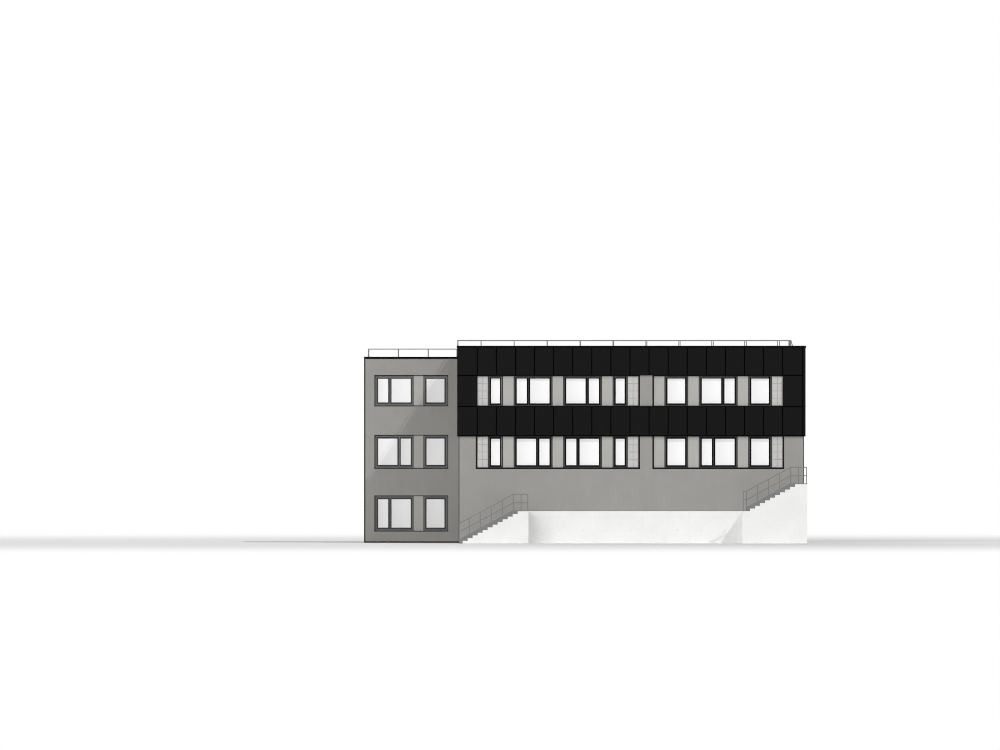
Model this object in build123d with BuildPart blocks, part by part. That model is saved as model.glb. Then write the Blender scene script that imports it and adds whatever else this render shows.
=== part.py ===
from build123d import *
import os

# School building on a slope: a rendered three-storey wing at the left, set back, and a wide main
# block whose upper half is clad in black cassettes. Millimetres, +Z up, the front faces -Y.
os.makedirs("parts", exist_ok=True)

# Levels above the lowest ground
terrace_level = 1850
first_floor_level = 3400

# Heights from one level to the next
storey_height = 3550
main_roof_rise = 3650
main_parapet_height = 652
wing_step_down = 632
wing_parapet_height = 570

# Construction thicknesses
wall_thickness = 400
floor_thickness = 260
roof_thickness = 300
ground_slab_thickness = 150
coping_thickness = 90
coping_overhang = 25
coping_lip = 30
coping_lip_thickness = 12

# Plan
main_depth = 14000
wing_length = 5370
wing_setback = 6000
left_corner_panel = 1155
right_corner_panel = 1315
pier_width = 710

# Window bands: widths of what stands in a row
screen_width = 610
infill_width = 600
end_corner_excess = 452.5
narrow_window_width = 875
single_window_width = 1370
pair_window_width = 2240
wing_infill_width = 545
wing_single_width = 1395
wing_band_margin = 630

# Window bands: heights
sill_height = 950
lower_band_height = 1780
upper_band_height = 1685
wing_low_sill_level = 686
wing_low_band_height = 2000
wing_middle_band_height = 1880
wing_middle_sill_drop = 50
wing_upper_band_height = 1725

# Window construction
band_surround = 90
wing_surround = 35
surround_depth = 200
sill_back = 35
sill_nose = 35
sill_cover = 20
sill_slope = 0.1
sill_sheet = 6
sill_drip = 28
jamb_face = 95
head_face = 45
wing_head_face = 95
sash_face = 80
mullion_face = 20
narrow_sash_width = 750
frame_setback = 90
frame_depth = 90
sash_setback = 105
sash_depth = 65
glass_setback = 125
glass_thickness = 30
infill_setback = 40
infill_depth = 300
screen_setback = 40
screen_depth = 100

# Cassette cladding
cladding_depth = 90
cladding_joint = 40
backing_thickness = 20
base_profile_height = 55
base_profile_setback = 12
corner_profile_width = 160
front_panel_count = 16
end_panel_count = 11
return_panel_count = 6
row_overlap = 50
wing_flashing_gap = 40

# Roof guard rails
rail_size = 50
main_rail_rise = 328
wing_rail_rise = 470
rail_middle_drop = 510
rail_setback = 700
main_first_post = 1370
main_post_pitch = 1905
main_post_count = 10
right_rail_inset = 835
left_rail_inset = 30
side_post_pitch = 1900
stay_clearance = 30
wing_rail_setback = 600
wing_post_pitch = 1722
wing_roof_post_count = 2
party_rail_inset = 245

# Stairs
stair_width = 2000
left_riser_count = 12
right_riser_count = 10
tread_going = 287
left_foot_inset = 315
left_landing_length = 620
right_landing_length = 690
right_landing_overrun = 70
right_foot_landing_length = 450
string_thickness = 60
string_inset = 100
string_rise = 200
string_curb = 45
railing_bar = 50
railing_height = 965
railing_middle_height = 483
railing_slope_rise = 135
railing_post_pitch = 632
railing_slope_posts = 5
left_railing_overrun = 181
right_railing_overrun = 212
right_end_post_gap = 173
landing_post_inset = 200
landing_end_inset = 40

# Plan positions, with the origin below the middle of the whole outline
left_band_kinds = ["screen", "narrow", "infill", "pair", "infill", "pair", "infill", "narrow", "screen"]
right_band_kinds = ["infill", "single", "infill", "pair", "infill", "single", "screen"]
widths = {
    "screen": screen_width,
    "infill": infill_width,
    "narrow": narrow_window_width,
    "single": single_window_width,
    "pair": pair_window_width,
    "wide_first": pair_window_width,
    "narrow_first": pair_window_width,
    "wing_infill": wing_infill_width,
    "wing_single": wing_single_width,
}


def row_width(kinds):
    return sum(widths[kind] for kind in kinds)


left_band_width = row_width(left_band_kinds)
right_band_width = row_width(right_band_kinds)
band_zone = left_band_width + right_band_width + pier_width + 2 * band_surround
main_length = left_corner_panel + band_zone + right_corner_panel
right_overrun = max(coping_overhang, right_landing_overrun)
total_length = wing_length + main_length + right_overrun
total_depth = stair_width + main_depth - cladding_depth + coping_overhang

wing_left = -total_length / 2
main_left = wing_left + wing_length
main_right = main_left + main_length
stair_front = -total_depth / 2
wall_front = stair_front + stair_width
main_front = wall_front - cladding_depth
main_back = main_front + main_depth
wall_back = main_back - cladding_depth
wall_left = main_left + cladding_depth
wall_right = main_right - cladding_depth
wing_front = main_front + wing_setback

second_floor_level = first_floor_level + storey_height
main_roof_level = second_floor_level + main_roof_rise
main_wall_top = main_roof_level + main_parapet_height
wing_wall_top = main_wall_top - wing_step_down
wing_roof_level = wing_wall_top - wing_parapet_height
lower_band_level = first_floor_level + sill_height
upper_band_level = second_floor_level + sill_height
cladding_bottom = lower_band_level + lower_band_height
cladding_lower_joint = upper_band_level - row_overlap
cladding_upper_joint = upper_band_level + upper_band_height + row_overlap


class Elevation:
    """A wall face to draw on: u runs along the wall, v is the level, depth goes into the wall."""

    def __init__(self, origin, x_dir, z_dir, inward):
        self.plane = Plane(origin=origin, x_dir=x_dir, z_dir=z_dir)
        self.inward = inward

    def at(self, depth):
        return self.plane.offset(self.inward * depth)

    def into(self, depth):
        return self.inward * depth

    def across(self, u):
        """Plane that cuts the wall at u: its x points out of the wall and its y up."""
        outward = self.plane.z_dir * -self.inward
        return Plane(origin=self.plane.origin + self.plane.x_dir * u, x_dir=outward,
                     z_dir=outward.cross(Vector(0, 0, 1)))


front = Elevation((0, wall_front, 0), (1, 0, 0), (0, -1, 0), -1)
back = Elevation((0, wall_back, 0), (1, 0, 0), (0, -1, 0), 1)
right = Elevation((wall_right, 0, 0), (0, 1, 0), (1, 0, 0), -1)
left = Elevation((wall_left, 0, 0), (0, 1, 0), (1, 0, 0), 1)
wing_face = Elevation((0, wing_front, 0), (1, 0, 0), (0, -1, 0), -1)
party = Elevation((wing_left, 0, 0), (0, 1, 0), (1, 0, 0), 1)


def area(u0, u1, v0, v1, mode=Mode.ADD):
    """Rectangle between two u and two v values, in the sketch that is open."""
    with Locations(((u0 + u1) / 2, (v0 + v1) / 2)):
        Rectangle(u1 - u0, v1 - v0, mode=mode)


class Band:
    """One row of windows, infill piers and screens in a metal surround."""

    def __init__(self, kinds, start, bottom, height, surround, head=head_face):
        self.head = head
        self.bottom = bottom
        self.top = bottom + height
        self.start = start
        self.surround = surround
        self.spans = []
        for kind in kinds:
            self.spans.append((kind, start, start + widths[kind]))
            start += widths[kind]
        self.end = start

    def opening(self, mode=Mode.ADD):
        area(self.start - self.surround, self.end + self.surround,
             self.bottom - self.surround, self.top + self.surround, mode)

    def chosen(self, *words):
        return [(u0, u1) for kind, u0, u1 in self.spans if any(word in kind for word in words)]

    def panes(self):
        """Outer sash edges, one pair for each pane."""
        found = []
        for kind, u0, u1 in self.spans:
            if "infill" in kind or kind == "screen":
                continue
            a = u0 + jamb_face
            b = u1 - jamb_face
            if kind == "narrow_first":
                found.append((a, a + narrow_sash_width))
                found.append((a + narrow_sash_width + mullion_face, b))
            elif kind == "wide_first":
                found.append((a, b - narrow_sash_width - mullion_face))
                found.append((b - narrow_sash_width, b))
            else:
                found.append((a, b))
        return found


def with_pairs(kinds, *orders):
    """The same row with each pair window given its order of panes, from left to right."""
    orders = list(orders)
    return [orders.pop(0) if kind == "pair" else kind for kind in kinds]


# Window bands of the main block; the back repeats the front
left_start = main_left + left_corner_panel
right_start = left_start + left_band_width + band_surround + pier_width + band_surround
main_bands = [
    Band(with_pairs(left_band_kinds, "wide_first", "narrow_first"), left_start,
         lower_band_level, lower_band_height, band_surround),
    Band(with_pairs(left_band_kinds, "narrow_first", "wide_first"), left_start,
         upper_band_level, upper_band_height, band_surround),
    Band(with_pairs(right_band_kinds, "narrow_first"), right_start,
         lower_band_level, lower_band_height, band_surround),
    Band(with_pairs(right_band_kinds, "wide_first"), right_start,
         upper_band_level, upper_band_height, band_surround),
]

# Window bands of the right end: corners and infills share what the windows leave of its wall
end_kinds = ["screen", "wide_first", "end_infill", "single", "end_infill", "narrow",
             "end_infill", "single", "end_infill", "narrow_first", "screen"]
end_windows_width = row_width([kind for kind in end_kinds if kind != "end_infill"])
end_spare_width = wall_back - wall_front - end_windows_width - 2 * end_corner_excess
end_infill_width = end_spare_width / (end_kinds.count("end_infill") + 2)
end_corner_panel = end_infill_width + end_corner_excess
end_start = wall_front + end_corner_panel
widths["end_infill"] = end_infill_width
end_bands = [
    Band(end_kinds, end_start, lower_band_level, lower_band_height, band_surround),
    Band(end_kinds, end_start, upper_band_level, upper_band_height, band_surround),
]

# Window bands of the wing, one for each storey
wing_start = wing_left + wing_band_margin
wing_bands = [
    Band(["narrow_first", "wing_infill", "wing_single"], wing_start,
         wing_low_sill_level, wing_low_band_height, wing_surround, wing_head_face),
    Band(["wide_first", "wing_infill", "wing_single"], wing_start,
         lower_band_level - wing_middle_sill_drop, wing_middle_band_height, wing_surround, wing_head_face),
    Band(["narrow_first", "wing_infill", "wing_single"], wing_start,
         upper_band_level, wing_upper_band_height, wing_surround, wing_head_face),
]

# Stairs along the front: where each flight starts and ends
left_rise = terrace_level / left_riser_count
right_rise = (first_floor_level - terrace_level) / right_riser_count
left_foot = main_left + left_foot_inset
left_top = left_foot + (left_riser_count - 1) * tread_going
right_top = main_right + right_landing_overrun - right_landing_length
right_foot = right_top - (right_riser_count - 1) * tread_going
ground_line = [
    (left_foot, 0),
    (left_top, terrace_level),
    (right_foot, terrace_level),
    (right_top, first_floor_level),
    (wall_right, first_floor_level),
]

pieces = {}


def polygon_wall(elevation, points, thickness, bands):
    """Wall of any outline with its window openings cut through it."""
    with BuildPart() as piece:
        with BuildSketch(elevation.plane):
            with BuildLine():
                Polyline(*points, close=True)
            make_face()
            for band in bands:
                band.opening(Mode.SUBTRACT)
        extrude(amount=elevation.into(thickness))
    return piece


def box_outline(u0, u1, v0, v1):
    return [(u0, v0), (u1, v0), (u1, v1), (u0, v1)]


# Main block walls
upper_outline = [(wall_left, 0)] + ground_line + [(wall_right, main_wall_top), (wall_left, main_wall_top)]
foundation_outline = ground_line + [(wall_right, 0)]
pieces["main_front_wall"] = polygon_wall(front, upper_outline, wall_thickness, main_bands)
pieces["main_back_wall"] = polygon_wall(back, upper_outline, wall_thickness, main_bands)
pieces["front_foundation"] = polygon_wall(front, foundation_outline, wall_thickness, [])
pieces["back_foundation"] = polygon_wall(back, foundation_outline, wall_thickness, [])
inner_front = wall_front + wall_thickness
inner_back = wall_back - wall_thickness
inner_left = wall_left + wall_thickness
inner_right = wall_right - wall_thickness
pieces["main_right_wall"] = polygon_wall(
    right, box_outline(inner_front, inner_back, first_floor_level, main_wall_top), wall_thickness, end_bands)
pieces["right_foundation"] = polygon_wall(
    right, box_outline(inner_front, inner_back, 0, first_floor_level), wall_thickness, [])
pieces["main_left_wall"] = polygon_wall(
    left, box_outline(inner_front, inner_back, 0, main_wall_top), wall_thickness, [])

# Wing walls
wing_inner_left = wing_left + wall_thickness
wing_inner_front = wing_front + wall_thickness
pieces["wing_front_wall"] = polygon_wall(
    wing_face, box_outline(wing_left, wall_left, 0, wing_wall_top), wall_thickness, wing_bands)
pieces["wing_back_wall"] = polygon_wall(
    back, box_outline(wing_left, wall_left, 0, wing_wall_top), wall_thickness, wing_bands)
pieces["wing_party_wall"] = polygon_wall(
    party, box_outline(wing_inner_front, inner_back, 0, wing_wall_top), wall_thickness, [])


def slabs(u0, u1, v0, v1, levels):
    """Floor or roof slabs between walls; levels holds the top and thickness of each."""
    with BuildPart() as piece:
        for top, thickness in levels:
            with BuildSketch(Plane.XY.offset(top - thickness)):
                area(u0, u1, v0, v1)
            extrude(amount=thickness)
    return piece


pieces["main_floors"] = slabs(
    inner_left, inner_right, inner_front, inner_back,
    [(first_floor_level, floor_thickness), (second_floor_level, floor_thickness)])
pieces["main_roof"] = slabs(
    inner_left, inner_right, inner_front, inner_back, [(main_roof_level, roof_thickness)])
pieces["wing_floors"] = slabs(
    wing_inner_left, wall_left, wing_inner_front, inner_back,
    [(ground_slab_thickness, ground_slab_thickness), (first_floor_level, floor_thickness),
     (second_floor_level, floor_thickness)])
pieces["wing_roof"] = slabs(
    wing_inner_left, wall_left, wing_inner_front, inner_back, [(wing_roof_level, roof_thickness)])

# Copings on the parapets: folded over the wall, with a lip down each side
def coping(outer, inner, level, overhangs):
    """Both outlines are (x0, x1, y0, y1) on the wall's faces; overhangs has one value for each side."""
    def grown(outline, distances):
        (x0, x1, y0, y1), (a, b, c, d) = outline, distances
        return x0 - a, x1 + b, y0 - c, y1 + d

    lip = [distance and coping_lip_thickness for distance in overhangs]
    edge = grown(outer, overhangs)
    inner_edge = grown(inner, [-distance for distance in overhangs])
    with BuildPart() as piece:
        with BuildSketch(Plane.XY.offset(level)):
            area(*edge)
            area(*inner_edge, Mode.SUBTRACT)
        extrude(amount=coping_thickness)
        with BuildSketch(Plane.XY.offset(level - coping_lip)):
            area(*edge)
            area(*grown(edge, [-width for width in lip]), Mode.SUBTRACT)
            area(*grown(inner_edge, lip))
            area(*inner_edge, Mode.SUBTRACT)
        extrude(amount=coping_lip)
    return piece


even_overhang = [coping_overhang] * 4
pieces["main_coping"] = coping(
    (main_left, main_right, main_front, main_back), (inner_left, inner_right, inner_front, inner_back),
    main_wall_top, even_overhang)
pieces["wing_coping"] = coping(
    (wing_left, wall_left, wing_front, wall_back), (wing_inner_left, wall_left, wing_inner_front, inner_back),
    wing_wall_top, [0, 0, coping_overhang, coping_overhang])


def surrounds(places):
    """Folded metal surrounds that line each band's opening, with sills that shed the rain."""
    with BuildPart() as piece:
        for elevation, bands, sills in places:
            with BuildSketch(elevation.plane):
                for band in bands:
                    band.opening()
                    area(band.start, band.end, band.bottom, band.top, Mode.SUBTRACT)
            extrude(amount=elevation.into(surround_depth))
            face_drop = sill_back * sill_slope
            for band in bands:
                with BuildSketch(elevation.across(band.start)):
                    with BuildLine():
                        Polyline((-sill_back, band.bottom), (0, band.bottom),
                                 (0, band.bottom - face_drop), close=True)
                    make_face()
                extrude(amount=elevation.into(band.end - band.start), mode=Mode.SUBTRACT)
            for u0, u1, bottom, nose in sills:
                at_wall = bottom - face_drop
                at_nose = at_wall - nose * sill_slope
                with BuildSketch(elevation.across(u0)):
                    with BuildLine():
                        Polyline((0, at_wall), (nose, at_nose), (nose, at_nose - sill_drip),
                                 (nose - sill_sheet, at_nose - sill_drip),
                                 (nose - sill_sheet, at_nose - sill_sheet),
                                 (0, at_wall - sill_sheet), close=True)
                    make_face()
                extrude(amount=elevation.into(u1 - u0))
    return piece


def infills(places, depth0, thickness, word):
    """Solid fillings between the windows, such as the rendered piers or the screens."""
    with BuildPart() as piece:
        for elevation, bands in places:
            with BuildSketch(elevation.at(depth0)):
                for band in bands:
                    for u0, u1 in band.chosen(word):
                        area(u0, u1, band.bottom, band.top)
            extrude(amount=elevation.into(thickness))
    return piece


def windows(elevation, bands):
    """Fixed frames with mullions, and a sash round each pane, set a little behind the frame."""
    with BuildPart() as piece:
        with BuildSketch(elevation.at(frame_setback)):
            for band in bands:
                for u0, u1 in band.chosen("narrow", "single", "first"):
                    area(u0, u1, band.bottom, band.top)
                for u0, u1 in band.panes():
                    area(u0, u1, band.bottom + band.head, band.top - band.head, Mode.SUBTRACT)
        extrude(amount=elevation.into(frame_depth))
        with BuildSketch(elevation.at(sash_setback)):
            for band in bands:
                for u0, u1 in band.panes():
                    v0 = band.bottom + band.head
                    v1 = band.top - band.head
                    area(u0, u1, v0, v1)
                    area(u0 + sash_face, u1 - sash_face, v0 + sash_face, v1 - sash_face, Mode.SUBTRACT)
        extrude(amount=elevation.into(sash_depth))
    return piece


def glazing(elevation, bands):
    """A sealed pane in each sash."""
    with BuildPart() as piece:
        with BuildSketch(elevation.at(glass_setback)):
            for band in bands:
                edge = band.head + sash_face
                for u0, u1 in band.panes():
                    area(u0 + sash_face, u1 - sash_face, band.bottom + edge, band.top - edge)
        extrude(amount=elevation.into(glass_thickness))
    return piece


def wall_sill(band):
    return band.start - band.surround, band.end + band.surround, band.bottom, sill_nose


def cladding_sill(first_band, last_band):
    """One long sill that also covers the cavity behind the cassettes below it."""
    return first_band.start, last_band.end, first_band.bottom, cladding_depth + sill_cover


main_places = [(front, main_bands), (back, main_bands), (right, end_bands)]
wing_places = [(wing_face, wing_bands), (back, wing_bands)]
left_low, left_high, right_low, right_high = main_bands
main_sills = [wall_sill(left_low), wall_sill(right_low), cladding_sill(left_high, right_high)]
end_low, end_high = end_bands
end_sills = [wall_sill(end_low), cladding_sill(end_high, end_high)]
wing_sills = [wall_sill(band) for band in wing_bands]
pieces["band_surrounds"] = surrounds([
    (front, main_bands, main_sills), (back, main_bands, main_sills), (right, end_bands, end_sills),
    (wing_face, wing_bands, wing_sills), (back, wing_bands, wing_sills)])
pieces["band_screens"] = infills(main_places, screen_setback, screen_depth, "screen")
pieces["front_piers"] = infills([(front, main_bands)], infill_setback, infill_depth, "infill")
pieces["back_piers"] = infills([(back, main_bands)], infill_setback, infill_depth, "infill")
pieces["right_piers"] = infills([(right, end_bands)], infill_setback, infill_depth, "infill")
pieces["wing_piers"] = infills(wing_places, infill_setback, infill_depth, "infill")
for side, elevation, bands in [("front", front, main_bands), ("back", back, main_bands),
                               ("right", right, end_bands), ("wing_front", wing_face, wing_bands),
                               ("wing_back", back, wing_bands)]:
    pieces[side + "_windows"] = windows(elevation, bands)
    pieces[side + "_glass"] = glazing(elevation, bands)


def joints(u0, u1, first, last, count):
    """Edges of the cassettes in one row: a corner at each end and equal modules between them."""
    pitch = (u1 - last - u0 - first) / count
    return [u0] + [u0 + first + i * pitch for i in range(count + 1)] + [u1]


class Cladding:
    """Cassettes with open joints, all carried by one thin backing sheet with a profile at its foot."""

    def __init__(self):
        self.sheets = []
        self.cassettes = []
        self.profiles = []

    def row(self, edges, v0, v1, flush_start=False, flush_end=False):
        """One row of cassettes; at a flush end it closes a corner of the building without a joint."""
        half = cladding_joint / 2
        self.sheets.append((edges[0], edges[-1], v0, v1))
        for a, b in zip(edges, edges[1:]):
            u0 = a if flush_start and a == edges[0] else a + half
            u1 = b if flush_end and b == edges[-1] else b - half
            self.cassettes.append((u0, u1, v0 + half, v1 - half))

    def foot(self, edges, **ends):
        """The profile at the cladding's foot and the row of cassettes above it."""
        top = cladding_bottom + base_profile_height
        self.profiles.append((edges[0], edges[-1], cladding_bottom, top))
        self.row(edges, top, cladding_lower_joint, **ends)

    def built(self, elevation):
        with BuildPart() as piece:
            for areas, depth in ((self.sheets, backing_thickness),
                                 (self.profiles, cladding_depth - base_profile_setback),
                                 (self.cassettes, cladding_depth)):
                if areas:
                    with BuildSketch(elevation.plane):
                        for edges in areas:
                            area(*edges)
                    extrude(amount=elevation.into(-depth))
        return piece


def window_wall_cladding(edges, corner_cells, **ends):
    """Full rows under and over the upper windows; beside these windows only the corners are clad."""
    cladding = Cladding()
    cladding.foot(edges, **ends)
    cladding.row(edges, cladding_upper_joint, main_wall_top, **ends)
    cladding.row(edges[:2], cladding_lower_joint, cladding_upper_joint,
                 flush_start=ends.get("flush_start", False))
    cladding.row(edges[-1 - corner_cells:], cladding_lower_joint, cladding_upper_joint,
                 flush_end=ends.get("flush_end", False))
    return cladding


front_edges = joints(main_left, main_right, left_corner_panel, right_corner_panel, front_panel_count)
back_edges = joints(wall_left, main_right, left_corner_panel - cladding_depth, right_corner_panel,
                    front_panel_count)
end_edges = joints(wall_front, wall_back, end_corner_panel, end_corner_panel, end_panel_count)
for edges in (front_edges, back_edges):
    edges.insert(-1, main_right - corner_profile_width)
pieces["front_cladding"] = window_wall_cladding(front_edges, 2, flush_start=True, flush_end=True).built(front)
pieces["back_cladding"] = window_wall_cladding(back_edges, 2, flush_end=True).built(back)
pieces["right_cladding"] = window_wall_cladding(end_edges, 1).built(right)

# Left side: full rows on the part in front of the wing, and a strip above the wing's coping
return_end = wing_front - coping_overhang
return_pitch = (return_end - wall_front) / return_panel_count
return_edges = [wall_front + i * return_pitch for i in range(return_panel_count + 1)]
strip_count = round((wall_back - return_end) / return_pitch)
strip_pitch = (wall_back - return_end) / strip_count
strip_edges = [return_end + i * strip_pitch for i in range(strip_count + 1)]
left_side = Cladding()
left_side.foot(return_edges)
left_side.row(return_edges, cladding_lower_joint, cladding_upper_joint)
left_side.row(return_edges, cladding_upper_joint, main_wall_top)
left_side.row(strip_edges, wing_wall_top + coping_thickness + wing_flashing_gap, main_wall_top)
pieces["left_cladding"] = left_side.built(left)


def guard_rail(plane, top_run, middle_run, top, middle, posts, stay=None):
    """Square-tube rail: a top and a middle tube on posts, each post given as u and foot level."""
    half = rail_size / 2
    with BuildPart() as piece:
        with BuildSketch(plane):
            area(*top_run, top - rail_size, top)
            if middle_run:
                area(*middle_run, middle - half, middle + half)
            for u, foot in posts:
                area(u - half, u + half, foot, top)
            if stay:
                u, foot = stay
                with BuildLine():
                    Polyline((u - half, top), (u + half, top), (u + stay_run + half, foot),
                             (u + stay_run - half, foot), close=True)
                make_face()
        extrude(amount=half, both=True)
    return piece


def across(y):
    """Vertical plane along the building at depth y."""
    return Plane(origin=(0, y, 0), x_dir=(1, 0, 0), z_dir=(0, -1, 0))


def along(x):
    """Vertical plane across the building at x."""
    return Plane(origin=(x, 0, 0), x_dir=(0, 1, 0), z_dir=(1, 0, 0))


def even_posts(u0, u1, pitch, foot):
    """Posts between two rails that carry the ends, at about the given pitch."""
    count = round((u1 - u0) / pitch)
    return [(u0 + (u1 - u0) * i / count, foot) for i in range(1, count)]


# Guard rails of the main roof: the left one stands on the coping, the others on the roof
main_coping_top = main_wall_top + coping_thickness
main_rail_top = main_coping_top + main_rail_rise
main_rail_middle = main_rail_top - rail_middle_drop
left_rail_x = main_left + left_rail_inset
right_rail_x = main_right - right_rail_inset
half_rail = rail_size / 2
stay_run = right_rail_inset - cladding_depth - wall_thickness - half_rail - stay_clearance
roof_posts = [(main_left + main_first_post + i * main_post_pitch, main_roof_level)
              for i in range(main_post_count)] + [(right_rail_x, main_roof_level)]
for side, y in (("front", main_front + rail_setback), ("back", main_back - rail_setback)):
    pieces[f"main_{side}_rail"] = guard_rail(
        across(y), (left_rail_x - half_rail, right_rail_x + half_rail), (roof_posts[0][0], right_rail_x),
        main_rail_top, main_rail_middle, roof_posts + [(left_rail_x, main_coping_top)],
        (right_rail_x, main_roof_level))
side_run = (main_front + rail_setback + half_rail, main_back - rail_setback - half_rail)
pieces["main_right_rail"] = guard_rail(
    along(right_rail_x), side_run, side_run, main_rail_top, main_rail_middle,
    even_posts(*side_run, side_post_pitch, main_roof_level))
pieces["main_left_rail"] = guard_rail(
    along(left_rail_x), side_run, None, main_rail_top, main_rail_middle,
    even_posts(*side_run, side_post_pitch, main_coping_top))

# Guard rails of the wing's roof: they end at the main block's wall
wing_coping_top = wing_wall_top + coping_thickness
wing_rail_top = wing_coping_top + wing_rail_rise
wing_rail_middle = wing_rail_top - rail_middle_drop
party_rail_x = wing_left + party_rail_inset
wing_roof_posts = [(party_rail_x + wing_post_pitch * (i + 1), wing_roof_level)
                   for i in range(wing_roof_post_count)] + [(main_left - half_rail, wing_roof_level)]
wing_rail_front = wing_front + wing_rail_setback
wing_rail_back = wall_back - wing_rail_setback
for side, y in (("front", wing_rail_front), ("back", wing_rail_back)):
    pieces[f"wing_{side}_rail"] = guard_rail(
        across(y), (party_rail_x - half_rail, main_left), (wing_roof_posts[0][0], wall_left),
        wing_rail_top, wing_rail_middle, wing_roof_posts + [(party_rail_x, wing_coping_top)])
party_run = (wing_rail_front + half_rail, wing_rail_back - half_rail)
pieces["wing_party_rail"] = guard_rail(
    along(party_rail_x), party_run, None, wing_rail_top, wing_rail_middle,
    even_posts(*party_run, side_post_pitch, wing_coping_top))


class Flight:
    """One outdoor flight: its steps, its string beside the open edge and its railing."""

    def __init__(self, foot, base, rise, count, foot_length, landing_length):
        self.foot = foot
        self.base = base
        self.rise = rise
        self.slope = rise / tread_going
        self.top = foot + (count - 1) * tread_going
        self.landing = base + count * rise
        self.end = self.top + landing_length
        self.start = foot - foot_length
        self.steps = [(foot, base)]
        for i in range(count):
            self.steps.append((foot + i * tread_going, base + (i + 1) * rise))
            if i + 1 < count:
                self.steps.append((foot + (i + 1) * tread_going, base + (i + 1) * rise))
        self.steps.append((self.end, self.landing))

    def above_nosings(self, u, height):
        return self.base + self.rise + (u - self.foot) * self.slope + height

    def bend(self, slope_height, landing_height):
        """Where a line above the nosings meets the level line above the landing."""
        return self.top - (slope_height - landing_height) / self.slope

    def body(self):
        outline = [(self.start, 0), (self.start, self.base)] if self.start < self.foot else []
        outline = outline + (self.steps if self.base else self.steps[1:])
        first = [] if outline[0][1] == 0 else [(self.foot, 0)]
        return first + outline + [(self.end, 0)]

    def string(self, overrun):
        """The string's outline: a sloped top edge, a low curb on the landing, steps below."""
        u = self.foot - overrun
        bend = self.bend(string_rise, string_curb)
        top_edge = [(self.end, self.landing + string_curb), (bend, self.landing + string_curb),
                    (u, self.above_nosings(u, string_rise)), (u, self.base)]
        return self.steps + top_edge

    def rail_line(self, height, overrun, end_gap):
        """Centre line of a railing tube, level over the landing and over a foot landing."""
        slope_height = height + railing_slope_rise
        u = self.foot - overrun
        low = self.above_nosings(u, slope_height)
        line = [(u, low), (self.bend(slope_height, height), self.landing + height),
                (self.end - landing_end_inset + railing_bar / 2, self.landing + height)]
        if end_gap:
            line.insert(0, (u - end_gap - railing_bar / 2, low))
        return line


def block(plane, outline, thickness):
    with BuildPart() as piece:
        with BuildSketch(plane):
            with BuildLine():
                Polyline(*outline, close=True)
            make_face()
        extrude(amount=thickness)
    return piece


def railing(plane, flight, overrun, end_gap):
    """Mitred square tubes on posts that stand on the string's top edge."""
    half = railing_bar / 2
    bend = flight.bend(railing_height + railing_slope_rise, railing_height)
    posts = [bend - i * railing_post_pitch for i in range(railing_slope_posts)]
    posts += [flight.foot - overrun, flight.top + landing_post_inset, flight.end - landing_end_inset]
    if end_gap:
        posts.append(flight.foot - overrun - end_gap)
    line = flight.rail_line(railing_height, overrun, end_gap)
    with BuildPart() as piece:
        with BuildSketch(plane):
            for u in posts:
                top = flight.landing + railing_height
                if u < bend:
                    top = flight.above_nosings(max(u, flight.foot - overrun), railing_height + railing_slope_rise)
                area(u - half, u + half, flight.base, top)
            for outline in (flight.string(overrun), flight.steps + [(flight.end, flight.base)]):
                with BuildLine():
                    Polyline(*outline, close=True)
                make_face(mode=Mode.SUBTRACT)
        extrude(amount=half, both=True)
        for height in (railing_height, railing_middle_height):
            with BuildLine(plane) as run:
                Polyline(*flight.rail_line(height, overrun, end_gap))
            with BuildSketch(Plane(origin=run.line @ 0, x_dir=(0, 1, 0), z_dir=run.line % 0)):
                Rectangle(railing_bar, railing_bar)
            sweep(path=run.line, transition=Transition.RIGHT)
    return piece


# Stairs
flights = [
    ("left", Flight(left_foot, 0, left_rise, left_riser_count, 0, left_landing_length),
     left_railing_overrun, 0),
    ("right", Flight(right_foot, terrace_level, right_rise, right_riser_count,
                     right_foot_landing_length, right_landing_length),
     right_railing_overrun, right_end_post_gap),
]
string_front = stair_front + string_inset
for side, flight, overrun, end_gap in flights:
    pieces[f"{side}_stair"] = block(across(wall_front), flight.body(), stair_width)
    pieces[f"{side}_stair_string"] = block(
        across(string_front + string_thickness), flight.string(overrun), string_thickness)
    pieces[f"{side}_stair_railing"] = railing(
        across(string_front + string_thickness / 2), flight, overrun, end_gap)

for name, piece in pieces.items():
    piece.part.label = name
    export_step(piece.part, f"parts/{name}.step")
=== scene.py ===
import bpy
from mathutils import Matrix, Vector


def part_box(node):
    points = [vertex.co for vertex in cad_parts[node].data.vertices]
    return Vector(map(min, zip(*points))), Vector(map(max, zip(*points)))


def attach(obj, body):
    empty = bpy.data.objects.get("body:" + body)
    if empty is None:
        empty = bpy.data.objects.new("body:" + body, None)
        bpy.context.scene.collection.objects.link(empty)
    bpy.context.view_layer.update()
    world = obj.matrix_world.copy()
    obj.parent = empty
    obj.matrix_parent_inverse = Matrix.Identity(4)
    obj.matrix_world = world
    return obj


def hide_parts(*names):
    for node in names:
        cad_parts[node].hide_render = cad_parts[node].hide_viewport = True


bl_info = {
    "name": "School Building",
    "version": (1, 0, 0),
    "blender": (4, 5, 0),
    "location": "3D View > Sidebar > School",
    "description": "Finishes the packed school building and sets up its stage",
    "category": "Object",
}

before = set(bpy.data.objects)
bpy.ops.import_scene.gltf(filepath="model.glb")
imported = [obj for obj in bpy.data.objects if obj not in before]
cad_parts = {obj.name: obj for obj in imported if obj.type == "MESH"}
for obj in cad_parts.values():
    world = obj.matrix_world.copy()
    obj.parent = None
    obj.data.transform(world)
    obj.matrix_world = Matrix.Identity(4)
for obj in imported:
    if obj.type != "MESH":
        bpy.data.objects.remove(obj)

import math

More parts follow.
